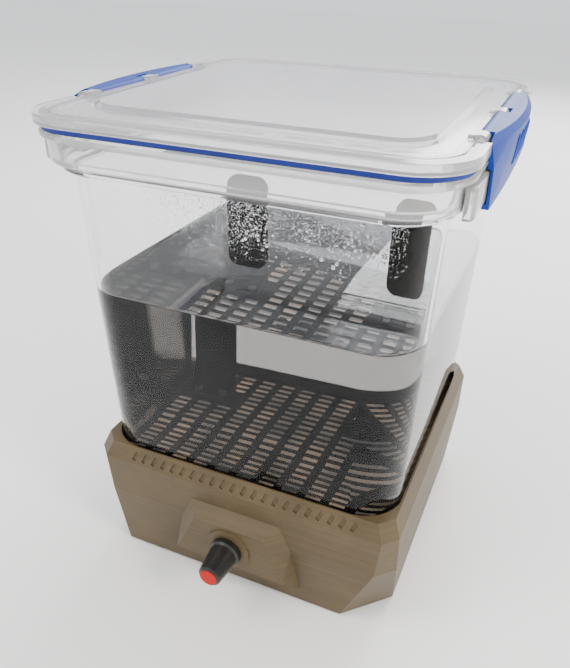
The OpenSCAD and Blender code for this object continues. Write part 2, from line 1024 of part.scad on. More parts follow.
module lid_seal() {
    color([0.26, 0.35, 0.64])
        at_frame()
            ring(seal_half, seal_half - seal_width, corner_r + 2, seal_bottom, lid_bottom);
}

module hinge_pin(side) {
    color([0.8, 0.82, 0.85])
        at_frame()
            hinge_bore(side, pin_r, -lug_y - lug_half, lug_y + lug_half);
}

module left_hinge_pin() {
    hinge_pin(-1);
}

module right_hinge_pin() {
    hinge_pin(1);
}

// ---------- clips ----------

// Thin plan slice of a clip: its outer side bows out by bow from edge at its ends
module clip_slice(inner, edge, bow, half_l, z) {
    steps = 16;
    translate([0, 0, z])
        linear_extrude(eps)
            polygon(concat(
                [[inner, half_l], [inner, -half_l]],
                [for (i = [0 : steps])
                    let (t = 2 * i / steps - 1)
                    [edge + bow * (1 - t * t), half_l * t]]
            ));
}

module clip_outer() {
    hull() {
        clip_slice(pin_x - 0.5, 82.2, clip_reach - 84, clip_half_length - 1.5, clip_top - eps);
        clip_slice(pin_x - 0.5, 84, clip_reach - 84, clip_half_length, clip_top - 2.4);
        clip_slice(pin_x - 0.5, 85.6, clip_reach - 86.6, clip_half_length, 208);
        clip_slice(pin_x - 0.5, 86, 0.9, clip_half_length, clip_bottom);
    }
}

module clip_inner() {
    l = clip_half_length - clip_wall;
    hull() {
        clip_slice(60, 82, clip_reach - 84, l, clip_top - 2.2);
        clip_slice(60, 83.6, clip_reach - 86.6, l, 208);
        clip_slice(60, 84.9, 0.2, l, clip_bottom + 1.8);
    }
}

module clip(side) {
    color([0.2, 0.4, 0.78])
        at_frame()
            on_side(side)
                difference() {
                    union() {
                        difference() {
                            clip_outer();
                            clip_inner();
                            // clear of the tub's flange, the seal and the lid's edge
                            translate([60, -60, clip_bottom + 1.8])
                                cube([84.8 - 60, 120, flange_top + 0.6 - clip_bottom - 1.8]);
                            translate([60, -60, flange_top])
                                cube([lip_half + 0.5 - 60, 120, lamina_top + 0.3 - flange_top]);
                            // hook under the flange ends here
                            translate([60, -60, clip_bottom - 1])
                                cube([82.2 - 60, 120, 4]);
                        }
                        for (s = [-1, 1])
                            translate([pin_x, s > 0 ? lug_half + 0.5 : -lug_y + lug_half + 0.5, pin_z])
                                rotate([-90, 0, 0])
                                    cylinder(r = knuckle_r, h = lug_y - 2 * lug_half - 1, $fn = 48);
                    }
                    // room for the lid's lugs
                    for (y = [-lug_y, 0, lug_y])
                        translate([60, y - lug_half - 0.5, 210])
                            cube([pin_x + knuckle_r + 1 - 60, 2 * lug_half + 1, 10]);
                    for (s = [-1, 1])
                        translate([60, s * (clip_half_length + 1) - 4, 210])
                            cube([pin_x + knuckle_r + 1 - 60, 8, 10]);
                    hinge_bore(1, pin_r + run_gap, -60, 60);
                }
}

module left_clip() {
    clip(-1);
}

module right_clip() {
    clip(1);
}

base_shell();
bottom_cover();
cover_screws();
rubber_feet();
fan_frame();
fan_screws();
fan_bearing();
stator_coils();
fan_rotor();
rotor_shaft();
rotor_magnet_ring();
magnet_carrier();
drive_magnets();
speed_board();
board_parts();
board_screws();
wiring();
pot_body();
pot_washer();
pot_nut();
pot_shaft();
control_knob();
knob_cap();
power_jack();
jack_nut();
tub();
stirrer_pivot();
stirrer();
stirrer_magnets();
basket_plate();
basket_legs();
left_basket_arm();
right_basket_arm();
basket_screws();
lid();
lid_seal();
left_hinge_pin();
right_hinge_pin();
left_clip();
right_clip();
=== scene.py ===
"""Looks of the resin wash station: materials, clear tub and lid, solvent, droplets, lights and camera."""
import json
import math
import random

import bmesh
import bpy
from mathutils import Matrix, Vector
from mathutils.bvhtree import BVHTree


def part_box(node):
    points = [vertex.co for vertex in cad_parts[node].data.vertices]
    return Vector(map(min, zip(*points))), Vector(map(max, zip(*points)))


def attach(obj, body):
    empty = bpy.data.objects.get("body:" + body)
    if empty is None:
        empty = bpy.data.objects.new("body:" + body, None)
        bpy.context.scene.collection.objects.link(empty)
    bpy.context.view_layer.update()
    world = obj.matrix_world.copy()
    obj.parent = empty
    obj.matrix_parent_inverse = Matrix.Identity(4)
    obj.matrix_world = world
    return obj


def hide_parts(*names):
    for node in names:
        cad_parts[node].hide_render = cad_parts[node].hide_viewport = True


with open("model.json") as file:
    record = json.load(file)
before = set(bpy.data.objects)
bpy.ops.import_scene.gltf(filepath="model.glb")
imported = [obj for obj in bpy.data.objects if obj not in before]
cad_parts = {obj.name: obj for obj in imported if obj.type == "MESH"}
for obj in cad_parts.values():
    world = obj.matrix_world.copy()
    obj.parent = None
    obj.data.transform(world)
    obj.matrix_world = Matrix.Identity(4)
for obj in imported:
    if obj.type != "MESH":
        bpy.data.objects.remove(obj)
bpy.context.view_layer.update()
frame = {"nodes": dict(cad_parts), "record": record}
nodes = frame["nodes"]

MM = 0.001


def corners(node):
    """Lowest and highest corner of a node in millimetres."""
    low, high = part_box(node)
    return low / MM, high / MM


TUB_LOW, TUB_HIGH = corners("tub")
PLATE_TOP = corners("basket_plate")[1].z
MID_Y = (TUB_LOW.y + TUB_HIGH.y) / 2       # middle of base, tub and lid, front to back

# tub, as half sizes from its middle and heights above the ground
RIM = TUB_HIGH.z
NECK_STEP = RIM - 16.2                     # the wall steps out to the neck here
NECK_STEP_2 = NECK_STEP + 3.5              # and once more here
DRAFT = math.radians(2.08)
WALL_AT_NECK = 75.0                        # half size of the wall under the neck
WALL = 1.6
FOOT = 4.0                                 # bend between floor and wall
TUB_R = 18.0                               # corner radius at the foot
R_GAIN = 2 / 160                           # growth of that radius per millimetre of height
TUB_FLOOR = TUB_LOW.z + WALL
FLOOR_CLEAR, FLOOR_MILKY = 40.5, 39.5      # the tub's floor turns milky between these heights, and gets a painted glow there
LIQUID = 142.0                             # level of the solvent


def wall_half(z):
    """Half size of the tub's outer wall at height z."""
    return WALL_AT_NECK - (NECK_STEP - z) * math.tan(DRAFT)


def outer_r(z):
    """Corner radius of the tub's outer wall at height z."""
    return TUB_R + (z - TUB_LOW.z) * R_GAIN


def inner_r(z):
    """Corner radius of the tub's inner wall at height z."""
    return outer_r(z) - WALL


# ---------- meshes ----------

CORNER_STEPS = 14


def rounded_loop(half, r, z):
    """Points of a rounded square round the tub's axis, anticlockwise, in millimetres."""
    points = []
    for turn, (sx, sy) in enumerate([(1, 1), (-1, 1), (-1, -1), (1, -1)]):
        for i in range(CORNER_STEPS + 1):
            angle = math.radians(90 * (turn + i / CORNER_STEPS))
            x = sx * (half - r) + r * math.cos(angle)
            y = sy * (half - r) + r * math.sin(angle)
            points.append(Vector((x, y + MID_Y, z)))
    return points


def mesh_object(name, bm, material, smooth=True):
    """Object from a bmesh in millimetres."""
    bmesh.ops.scale(bm, vec=(MM, MM, MM), verts=bm.verts)
    bmesh.ops.recalc_face_normals(bm, faces=bm.faces)
    mesh = bpy.data.meshes.new(name)
    bm.to_mesh(mesh)
    bm.free()
    for polygon in mesh.polygons:
        polygon.use_smooth = smooth
    mesh.materials.append(material)
    piece = bpy.data.objects.new(name, mesh)
    bpy.context.scene.collection.objects.link(piece)
    return piece


def loft(bm, loops):
    """Skin over loops of equal length, with flat ends."""
    rings = [[bm.verts.new(p) for p in loop] for loop in loops]
    count = len(rings[0])
    for low, high in zip(rings, rings[1:]):
        for i in range(count):
            j = (i + 1) % count
            bm.faces.new((low[i], low[j], high[j], high[i]))
    bm.faces.new(list(reversed(rings[0])))
    bm.faces.new(rings[-1])


def sharpen(piece, degrees):
    """Keeps creases above an angle sharp."""
    piece.data.set_sharp_from_angle(angle=math.radians(degrees))


def node_surface(node):
    """Tree of a node's triangles in millimetres, for finding its surface."""
    bm = bmesh.new()
    bm.from_mesh(nodes[node].data)
    bmesh.ops.transform(bm, matrix=Matrix.Scale(1 / MM, 4) @ nodes[node].matrix_world, verts=bm.verts)
    tree = BVHTree.FromBMesh(bm)
    bm.free()
    return tree


def hit(surface, start, direction):
    """First point of the surface from start along direction, or None."""
    return surface.ray_cast(start, direction)[0]


# ---------- materials ----------

LAYER = 0.3 * MM                           # height of a printed layer
PLASTIC_IOR = 1.49
LIQUID_IOR = 1.36


def new_material(name):
    """Material with its node tree and its shader."""
    material = bpy.data.materials.new(name)
    material.use_nodes = True
    tree = material.node_tree
    return material, tree, tree.nodes["Principled BSDF"]


def add(tree, kind, **values):
    """Node with its input values set by name."""
    node = tree.nodes.new(kind)
    for key, value in values.items():
        node.inputs[key.replace("_", " ")].default_value = value
    return node


def object_coords(tree, scale=(1, 1, 1)):
    """Object coordinates in metres, times scale."""
    coords = tree.nodes.new("ShaderNodeTexCoord")
    mapping = tree.nodes.new("ShaderNodeMapping")
    mapping.inputs["Scale"].default_value = scale
    tree.links.new(coords.outputs["Object"], mapping.inputs["Vector"])
    return mapping.outputs["Vector"]


def ramp(tree, source, stops):
    """Colour ramp fed by source; stops are (position, colour)."""
    node = tree.nodes.new("ShaderNodeValToRGB")
    tree.links.new(source, node.inputs["Fac"])
    elements = node.color_ramp.elements
    while len(elements) < len(stops):
        elements.new(0.5)
    for element, (position, colour) in zip(elements, stops):
        element.position = position
        element.color = (*colour, 1)
    return node.outputs["Color"]


def noise(tree, vector, scale, detail=3.0, roughness=0.55):
    """Value of a noise texture, 0 to 1."""
    node = add(tree, "ShaderNodeTexNoise", Scale=scale, Detail=detail, Roughness=roughness)
    tree.links.new(vector, node.inputs["Vector"])
    return node.outputs["Fac"]


def bump(tree, shader, height, strength, distance, under=None):
    """Bump from a height, stacked on an earlier one."""
    node = add(tree, "ShaderNodeBump", Strength=strength, Distance=distance)
    tree.links.new(height, node.inputs["Height"])
    if under:
        tree.links.new(under, node.inputs["Normal"])
    tree.links.new(node.outputs["Normal"], shader.inputs["Normal"])
    return node.outputs["Normal"]


def printed(name, dark, light, rough_low, rough_high, gloss=0.35):
    """Printed plastic: fine horizontal layers, blotches and slight sheen."""
    material, tree, shader = new_material(name)
    vector = object_coords(tree)
    wave = add(tree, "ShaderNodeTexWave", Scale=1 / (LAYER * 20), Distortion=0.6, Detail=2.0)
    wave.bands_direction = "Z"
    tree.links.new(vector, wave.inputs["Vector"])
    blotch = noise(tree, vector, scale=45)
    streak = noise(tree, object_coords(tree, (12, 12, 900)), scale=1.0, detail=2.0)
    mix = add(tree, "ShaderNodeMath")
    mix.operation = "MULTIPLY_ADD"
    tree.links.new(streak, mix.inputs[0])
    mix.inputs[1].default_value = 0.55     # share of the streaks
    tree.links.new(blotch, mix.inputs[2])
    tree.links.new(ramp(tree, mix.outputs[0], [(0.55, dark), (1.0, light)]), shader.inputs["Base Color"])
    rough = add(tree, "ShaderNodeMapRange", To_Min=rough_low, To_Max=rough_high)
    tree.links.new(blotch, rough.inputs["Value"])
    tree.links.new(rough.outputs["Result"], shader.inputs["Roughness"])
    layers = bump(tree, shader, wave.outputs["Fac"], strength=0.35, distance=0.06 * MM)
    bump(tree, shader, noise(tree, vector, scale=900), strength=0.25, distance=0.05 * MM, under=layers)
    shader.inputs["Specular IOR Level"].default_value = gloss
    return material


def moulded(name, dark, light, rough_low, rough_high, gloss=0.5):
    """Moulded plastic: slight colour drift and a fine grain."""
    material, tree, shader = new_material(name)
    vector = object_coords(tree)
    drift = noise(tree, vector, scale=60)
    tree.links.new(ramp(tree, drift, [(0.3, dark), (0.7, light)]), shader.inputs["Base Color"])
    rough = add(tree, "ShaderNodeMapRange", To_Min=rough_low, To_Max=rough_high)
    tree.links.new(noise(tree, vector, scale=160), rough.inputs["Value"])
    tree.links.new(rough.outputs["Result"], shader.inputs["Roughness"])
    bump(tree, shader, noise(tree, vector, scale=1400), strength=0.15, distance=0.03 * MM)
    shader.inputs["Specular IOR Level"].default_value = gloss
    return material


def metal(name, dark, light, rough=0.3):
    """Brushed metal with fine marks."""
    material, tree, shader = new_material(name)
    vector = object_coords(tree, (1, 1, 8))
    marks = noise(tree, vector, scale=700)
    tree.links.new(ramp(tree, marks, [(0.3, dark), (0.7, light)]), shader.inputs["Base Color"])
    spread = add(tree, "ShaderNodeMapRange", To_Min=rough - 0.08, To_Max=rough + 0.12)
    tree.links.new(marks, spread.inputs["Value"])
    tree.links.new(spread.outputs["Result"], shader.inputs["Roughness"])
    bump(tree, shader, marks, strength=0.2, distance=0.02 * MM)
    shader.inputs["Metallic"].default_value = 1.0
    return material


def clear(name, tint, roughness, ripple, clarity, shine, milky=(), floor_glow=0.0):
    """Clear moulded plastic with a slightly wavy surface; what clarity leaves out is milky.

    milky holds (height it starts at, height it is full at, clarity there), heights in metres.
    floor_glow stands for the light that the tub's floor gathers from all sides.
    """
    material, tree, shader = new_material(name)
    shader.inputs["Base Color"].default_value = (*tint, 1)
    shader.inputs["IOR"].default_value = PLASTIC_IOR
    shader.inputs["Specular Tint"].default_value = (shine, shine, shine, 1)
    vector = object_coords(tree)
    even = add(tree, "ShaderNodeMapRange", To_Min=clarity - 0.004, To_Max=clarity + 0.004)
    tree.links.new(noise(tree, vector, scale=30), even.inputs["Value"])
    amount = even.outputs["Result"]
    split = tree.nodes.new("ShaderNodeSeparateXYZ")
    tree.links.new(vector, split.inputs["Vector"])
    for start, full, there in milky:
        fade = add(tree, "ShaderNodeMapRange", From_Min=start, From_Max=full)
        tree.links.new(split.outputs["Z"], fade.inputs["Value"])
        blend = tree.nodes.new("ShaderNodeMix")
        blend.inputs["B"].default_value = there
        tree.links.new(fade.outputs["Result"], blend.inputs["Factor"])
        tree.links.new(amount, blend.inputs["A"])
        amount = blend.outputs["Result"]
    tree.links.new(amount, shader.inputs["Transmission Weight"])
    # painted glow: a warm emission on the tub's floor that stands for the light it gathers
    if floor_glow:
        low = add(
            tree, "ShaderNodeMapRange",
            From_Min=FLOOR_CLEAR * MM, From_Max=FLOOR_MILKY * MM, To_Max=floor_glow,
        )
        tree.links.new(split.outputs["Z"], low.inputs["Value"])
        tree.links.new(low.outputs["Result"], shader.inputs["Emission Strength"])
        shader.inputs["Emission Color"].default_value = (1.0, 0.84, 0.66, 1)
    spread = add(tree, "ShaderNodeMapRange", To_Min=roughness * 0.6, To_Max=roughness * 1.4)
    tree.links.new(noise(tree, vector, scale=90), spread.inputs["Value"])
    tree.links.new(spread.outputs["Result"], shader.inputs["Roughness"])
    bump(tree, shader, noise(tree, vector, scale=55), strength=ripple, distance=0.4 * MM)
    return material


# printed and moulded: name, darkest and lightest colour, lowest and highest roughness; metals have one
# roughness, and the clear ones a tint
MATERIALS = {
    "printed_taupe": printed("taupe_print", (0.07, 0.049, 0.022), (0.102, 0.072, 0.034), 0.42, 0.56),
    "printed_black": printed(
        "black_print", (0.002, 0.0024, 0.0022), (0.005, 0.006, 0.0055), 0.5, 0.65, gloss=0.015,
    ),
    "steel": metal("zinc_steel", (0.5, 0.5, 0.52), (0.7, 0.7, 0.72)),
    "pin_plastic": moulded("pin_plastic", (0.6, 0.64, 0.68), (0.68, 0.72, 0.76), 0.25, 0.4),
    "rubber": moulded("foot_rubber", (0.012, 0.012, 0.012), (0.03, 0.03, 0.03), 0.7, 0.85),
    "fan_plastic": moulded("fan_plastic", (0.014, 0.014, 0.015), (0.025, 0.025, 0.027), 0.45, 0.6),
    "bronze": metal("sintered_bronze", (0.4, 0.26, 0.1), (0.55, 0.38, 0.16), 0.45),
    "copper": metal("copper_windings", (0.5, 0.2, 0.08), (0.65, 0.3, 0.13), 0.35),
    "magnet": metal("nickel_magnet", (0.55, 0.55, 0.56), (0.75, 0.75, 0.77), 0.18),
    "circuit_board": moulded("circuit_board", (0.008, 0.07, 0.03), (0.012, 0.1, 0.045), 0.3, 0.45),
    "board_parts": moulded("board_parts", (0.01, 0.05, 0.16), (0.015, 0.08, 0.22), 0.35, 0.5),
    "wire_insulation": moulded("wire_insulation", (0.25, 0.01, 0.01), (0.35, 0.02, 0.02), 0.4, 0.55),
    "dark_plastic": moulded("dark_plastic", (0.01, 0.01, 0.011), (0.022, 0.022, 0.024), 0.35, 0.5),
    "knob_black": moulded("knob_black", (0.004, 0.004, 0.0035), (0.011, 0.01, 0.008), 0.3, 0.42),
    "cap_red": moulded("cap_red", (0.42, 0.006, 0.001), (0.52, 0.012, 0.002), 0.4, 0.5, gloss=0.2),
    "clear_tub": clear(
        "clear_tub", (0.985, 0.987, 0.99), roughness=0.02, ripple=0.02, clarity=0.996, shine=0.1,
        milky=[(NECK_STEP * MM, (NECK_STEP + 3) * MM, 0.76), (FLOOR_CLEAR * MM, FLOOR_MILKY * MM, 0.2)],
        floor_glow=0.5,
    ),
    "clear_lid": clear(
        "clear_lid", (0.95, 0.955, 0.99), roughness=0.08, ripple=0.04, clarity=0.7, shine=0.7,
    ),
    "seal_blue": moulded("seal_blue", (0.012, 0.026, 0.21), (0.02, 0.04, 0.27), 0.5, 0.6, gloss=0.25),
    "clip_blue": moulded("clip_blue", (0.005, 0.03, 0.25), (0.01, 0.05, 0.34), 0.4, 0.52, gloss=0.22),
}

slot_of = {s["node"]: s["material_slot"] for s in frame["record"]["subparts"]}
for node_name, cad_object in nodes.items():
    for material_slot in cad_object.material_slots:
        material_slot.material = MATERIALS[slot_of[node_name]]


# ---------- tub ----------

STEP_HALF = WALL_AT_NECK + 2.8             # half size between the two steps
NECK_HALF = 80.6
LIP_HALF = 83.0
LIP_BOTTOM = RIM - 2.8
SUPPORTS = (80, 120, 160)                  # heights of extra loops that keep the wall's shading even
FLANGE_X = TUB_HIGH.x                      # outer face of the flanges
FLANGE_HALF_LENGTH = 68.0
FLANGE_LOW, FLANGE_TOP = RIM - 14.2, RIM - 3.2
FLANGE_R = 2.6
FLANGE_STEPS = 6
FLANGE_WALL = 1.5


def quarter(half, r, z_from, z_to, bend, steps=4):
    """Loops round a bend between two heights; half and r grow by bend on the way."""
    loops = []
    for i in range(steps + 1):
        angle = math.radians(90 * i / steps)
        grow = bend * math.sin(angle)
        z = z_to - (z_to - z_from) * math.cos(angle)
        loops.append(rounded_loop(half + grow, r + grow, z))
    return loops


def outer_wall():
    """Loops from under the tub's floor up the outside to its first step."""
    bottom = TUB_LOW.z
    loops = quarter(wall_half(bottom) - FOOT, TUB_R - FOOT, bottom, bottom + FOOT, FOOT)
    for z in (bottom + FOOT + 0.4, *SUPPORTS, NECK_STEP - 1.6):
        loops.append(rounded_loop(wall_half(z), outer_r(z), z))
    return loops + quarter(WALL_AT_NECK, TUB_R + 2, NECK_STEP - 0.8, NECK_STEP, -0.2, 2)


def neck():
    """Loops out over both steps, over the lip and down inside the neck, as (half, radius, height)."""
    outside = [
        (WALL_AT_NECK + 0.7, TUB_R + 2, NECK_STEP), (STEP_HALF - 0.7, TUB_R + 2, NECK_STEP + 0.1),
        (STEP_HALF, TUB_R + 2, NECK_STEP + 0.8), (STEP_HALF, TUB_R + 2, NECK_STEP_2 - 0.6),
        (STEP_HALF + 0.6, TUB_R + 2, NECK_STEP_2), (NECK_HALF - 0.6, TUB_R + 2, NECK_STEP_2),
        (NECK_HALF, TUB_R + 2, NECK_STEP_2 + 0.7), (NECK_HALF, TUB_R + 2, LIP_BOTTOM - 0.6),
    ]
    lip = [
        (NECK_HALF + 0.6, TUB_R + 3, LIP_BOTTOM), (LIP_HALF - 0.7, TUB_R + 3, LIP_BOTTOM),
        (LIP_HALF, TUB_R + 3, LIP_BOTTOM + 0.7), (LIP_HALF, TUB_R + 3, RIM - 0.7),
        (LIP_HALF - 0.7, TUB_R + 3, RIM), (NECK_HALF - 1.0, TUB_R + 0.6, RIM),
    ]
    inside = [
        (NECK_HALF - 1.7, TUB_R, RIM - 0.7), (NECK_HALF - 1.7, TUB_R, NECK_STEP_2 + 2.2),
        (NECK_HALF - 2.3, TUB_R, NECK_STEP_2 + 1.6), (STEP_HALF - 1.1, TUB_R + 1, NECK_STEP_2 + 1.6),
        (STEP_HALF - 1.7, TUB_R + 1, NECK_STEP_2 + 1.0), (STEP_HALF - 1.7, TUB_R + 1, NECK_STEP + 2.2),
        (STEP_HALF - 2.3, TUB_R + 1, NECK_STEP + 1.6), (WALL_AT_NECK - 0.8, TUB_R + 1, NECK_STEP + 1.6),
    ]
    return [rounded_loop(*place) for place in outside + lip + inside]


def inner_wall():
    """Loops from the first step down the inside to the tub's floor."""
    loops = []
    for z in (NECK_STEP + 0.8, *reversed(SUPPORTS), TUB_FLOOR + FOOT + 0.4):
        loops.append(rounded_loop(wall_half(z) - WALL, inner_r(z), z))
    half = wall_half(TUB_FLOOR) - WALL - FOOT
    return loops + quarter(half, TUB_R - FOOT, TUB_FLOOR, TUB_FLOOR + FOOT, FOOT)[::-1]


def make_tub():
    """Clear tub: drafted wall, stepped neck, rolled lip, open at the top."""
    bm = bmesh.new()
    loft(bm, outer_wall() + neck() + inner_wall())
    piece = mesh_object("tub_shell", bm, MATERIALS["clear_tub"])
    sharpen(piece, 30)
    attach(piece, "tub")
    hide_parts("tub")


def make_flange(side):
    """Hollow flange that a clip hooks under, with rounded corners; side is the sign of x."""
    neck_x = side * (NECK_HALF + 0.05)
    loops = []
    for z, inset in [
        (FLANGE_TOP, 0.7), (FLANGE_TOP - 0.2, 0.2), (FLANGE_TOP - 0.8, 0),
        (FLANGE_LOW + 0.6, 0), (FLANGE_LOW, 0.4), (FLANGE_LOW, 1.1),
        (FLANGE_LOW + 0.6, FLANGE_WALL), (FLANGE_TOP - 1.8, FLANGE_WALL),
    ]:
        x, y, r = FLANGE_X - inset, FLANGE_HALF_LENGTH - inset, FLANGE_R - inset
        loop = [Vector((neck_x, MID_Y - y, z))]
        for corner_y, start in [(MID_Y - y + r, -90), (MID_Y + y - r, 0)]:
            for i in range(FLANGE_STEPS + 1):
                angle = math.radians(start + 90 * i / FLANGE_STEPS)
                out = x - r + r * math.cos(angle)
                loop.append(Vector((side * out, corner_y + r * math.sin(angle), z)))
        loop.append(Vector((neck_x, MID_Y + y, z)))
        loops.append(loop)
    bm = bmesh.new()
    loft(bm, loops)
    piece = mesh_object("left_flange" if side < 0 else "right_flange", bm, MATERIALS["clear_tub"])
    sharpen(piece, 30)
    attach(piece, "tub")


make_tub()
make_flange(-1)
make_flange(1)


# ---------- solvent ----------

OVERLAP = 0.25                             # the solvent wets the wall, so it goes a little into it
MENISCUS = 1.0                             # how far it climbs the wall
MENISCUS_CURVE = [(0.5, 0.45), (1.2, 0.8), (2.4, 0.97), (4.0, 1.0), (30.0, 1.0)]
SOLVENT_MIDDLE = 90                        # height of an extra loop that keeps its shading even


def solvent_material(name, tint, reflection):
    """Slightly clouded liquid."""
    material, tree, shader = new_material(name)
    shader.inputs["Base Color"].default_value = (*tint, 1)
    shader.inputs["Specular Tint"].default_value = (*reflection, 1)
    shader.inputs["Transmission Weight"].default_value = 1.0
    shader.inputs["Roughness"].default_value = 0.0
    shader.inputs["IOR"].default_value = LIQUID_IOR
    ripples = noise(tree, object_coords(tree), scale=22)
    bump(tree, shader, ripples, strength=0.01, distance=0.4 * MM)
    return material


def make_solvent():
    """Solvent that fills the tub to LIQUID; its meniscus falls from the wall inwards."""
    loops = []
    for z, bend in [
        (TUB_FLOOR - OVERLAP, FOOT), (TUB_FLOOR + FOOT, 0), (SOLVENT_MIDDLE, 0), (LIQUID + MENISCUS, 0),
    ]:
        half = wall_half(z) - WALL + OVERLAP - bend
        loops.append(rounded_loop(half, inner_r(z) - bend, z))
    for inset, drop in MENISCUS_CURVE:
        half = wall_half(LIQUID) - WALL + OVERLAP - inset
        r = max(inner_r(LIQUID) - inset, 3)
        loops.append(rounded_loop(half, r, LIQUID + MENISCUS * (1 - drop)))
    bm = bmesh.new()
    loft(bm, loops)
    piece = mesh_object("solvent", bm, solvent_material("solvent", (0.22, 0.21, 0.2), (0.3, 0.32, 0.36)))
    # painted reflection: the surface faces get a paler, bluer tint and a near-white reflection colour than
    # the body
    piece.data.materials.append(solvent_material("solvent_top_painted_reflection", (0.45, 0.53, 0.68), (0.9, 0.96, 1.0)))
    for polygon in piece.data.polygons:
        if polygon.center.z > (LIQUID - 0.5) * MM and abs(polygon.normal.z) > 0.3:
            polygon.material_index = 1
    sharpen(piece, 50)
    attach(piece, "tub")


make_solvent()


# ---------- light in the plate's slots ----------

SLOT_PITCH_X, SLOT_PITCH_Y = 11.3, 6.65
SLOT_HALF_X, SLOT_HALF_Y = 3.6, 1.8
SLOT_COLUMNS, SLOT_ROWS = 11, 19
FILM_TOP, FILM_LOW = PLATE_TOP - 0.25, PLATE_TOP - 2.8
FILM_OUT, FILM_IN = 0.05, 0.2              # distances of the film's faces from a slot's wall


def slot_glow_material():
    """Painted light in the slots: a pale colour and a glow that stand for light from below, more in some
    slots than in others.
    """
    material, tree, shader = new_material("slot_painted_glow")
    vector = object_coords(tree)
    patch = noise(tree, vector, scale=38, detail=2.0)
    colour = ramp(tree, patch, [(0.35, (0.26, 0.27, 0.26)), (0.65, (0.55, 0.42, 0.31))])
    tree.links.new(colour, shader.inputs["Base Color"])
    # painted glow: the film gives off light in its own pale colour, stronger in some slots
    tree.links.new(colour, shader.inputs["Emission Color"])
    glow = add(tree, "ShaderNodeMapRange", From_Min=0.35, From_Max=0.7, To_Min=0.12, To_Max=0.75)
    tree.links.new(patch, glow.inputs["Value"])
    tree.links.new(glow.outputs["Result"], shader.inputs["Emission Strength"])
    shader.inputs["Roughness"].default_value = 0.5
    return material


def add_slot_film(bm, x, y):
    """Thin film of painted light round the wall of the slot at x, y."""
    rings = []
    for inset, z in [(FILM_OUT, FILM_LOW), (FILM_OUT, FILM_TOP), (FILM_IN, FILM_TOP), (FILM_IN, FILM_LOW)]:
        hx, hy = SLOT_HALF_X - inset, SLOT_HALF_Y - inset
        rings.append([
            bm.verts.new((x + sx * hx, y + sy * hy, z))
            for sx, sy in [(1, 1), (-1, 1), (-1, -1), (1, -1)]
        ])
    for ring, after in zip(rings, rings[1:] + rings[:1]):
        for k in range(4):
            m = (k + 1) % 4
            bm.faces.new((ring[k], ring[m], after[m], after[k]))


def make_slot_glow():
    """Film of painted light in each of the plate's slots that is cut through; the slots stay open."""
    surface = node_surface("basket_plate")
    down = Vector((0, 0, -1))
    bm = bmesh.new()
    for i in range(SLOT_COLUMNS):
        for j in range(SLOT_ROWS):
            x = (i - (SLOT_COLUMNS - 1) / 2) * SLOT_PITCH_X
            y = MID_Y + (j - (SLOT_ROWS - 1) / 2) * SLOT_PITCH_Y
            if not hit(surface, Vector((x, y, PLATE_TOP + 20)), down):
                add_slot_film(bm, x, y)
    piece = mesh_object("slot_film", bm, slot_glow_material(), smooth=False)
    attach(piece, "basket")


make_slot_glow()


# ---------- droplets ----------

DOME_PROFILE = [(1.0, -0.06), (0.92, 0.45), (0.62, 0.82)]      # shares of the radius and of the height


def dome(bm, centre, out, radius, height, sides, stretch=1.0):
    """Droplet: a dome that stands on centre towards the unit vector out; stretch is downhill."""
    down = Vector((0, 0, -1)) if abs(out.z) < 0.9 else Vector((1, 0, 0))
    across = out.cross(down).normalized()
    down = across.cross(out).normalized()
    rings = []
    for share, lift in DOME_PROFILE:
        ring = []
        for i in range(sides):
            angle = math.tau * i / sides
            sideways = across * (math.cos(angle) * radius * share)
            lengthways = down * (math.sin(angle) * radius * share * stretch)
            ring.append(bm.verts.new(centre + sideways + lengthways + out * (lift * height)))
        rings.append(ring)
    top = bm.verts.new(centre + out * height)
    for low, high in zip(rings, rings[1:]):
        for i in range(sides):
            j = (i + 1) % sides
            bm.faces.new((low[i], low[j], high[j], high[i]))
    for i in range(sides):
        bm.faces.new((rings[-1][i], rings[-1][(i + 1) % sides], top))
    bm.faces.new(list(reversed(rings[0])))


def water():
    """Clear liquid of the droplets."""
    material, tree, shader = new_material("water_drop")
    shader.inputs["Base Color"].default_value = (0.98, 0.99, 1, 1)
    shader.inputs["Transmission Weight"].default_value = 1.0
    shader.inputs["Roughness"].default_value = 0.02
    shader.inputs["IOR"].default_value = LIQUID_IOR
    bump(tree, shader, noise(tree, object_coords(tree), scale=500), strength=0.05, distance=0.05 * MM)
    return material


WATER = water()
FRONT_NORMAL = Vector((0, math.cos(DRAFT), math.sin(DRAFT)))    # inner front wall, into the tub
MIST_LEFT, MIST_RIGHT = -34, 66            # reach of the mist along the front wall
MIST_LOW, MIST_RISE = 169, 0.06            # height of its lower edge at the left, and the edge's slope
MIST_WAVE = 3                              # height of that edge's waves
FADE_LEFT, FADE_RIGHT = 36, 9              # distances over which it thins out
FINE_DROPS = 3600
FINEST, COARSEST = 0.12, 0.42              # radii of the fine drops
CLUSTERS = [                               # x, height, number of drops, spread
    (11.5, 181, 11, 2.6), (8, 188, 5, 2.5), (31, 184, 9, 3.6), (48, 181.5, 12, 3.0),
    (52, 187, 10, 3.4), (58.7, 182.3, 7, 2.0), (40, 178.5, 6, 3.0), (20, 186, 6, 4.0),
]


def on_front(x, z):
    """Point of the tub's inner front wall."""
    return Vector((x, MID_Y - wall_half(z) + WALL, z))


def add_mist(bm, rng):
    """Fine dense droplets below the neck, thinner towards both sides and towards a wavy lower edge."""
    placed = 0
    while placed < FINE_DROPS:
        x = rng.uniform(MIST_LEFT, MIST_RIGHT)
        bottom = MIST_LOW + (x - MIST_LEFT) * MIST_RISE + MIST_WAVE * math.sin(x * 0.13)
        z = NECK_STEP - 0.5 - abs(rng.gauss(0, 0.5)) * (NECK_STEP - bottom)
        side_fade = min((x - MIST_LEFT) / FADE_LEFT, (MIST_RIGHT + 2 - x) / FADE_RIGHT, 1)
        if z < bottom - MIST_WAVE or rng.random() > side_fade:
            continue
        radius = min(FINEST + rng.expovariate(18), COARSEST)
        dome(bm, on_front(x, z), FRONT_NORMAL, radius, radius * 0.5, sides=6)
        placed += 1


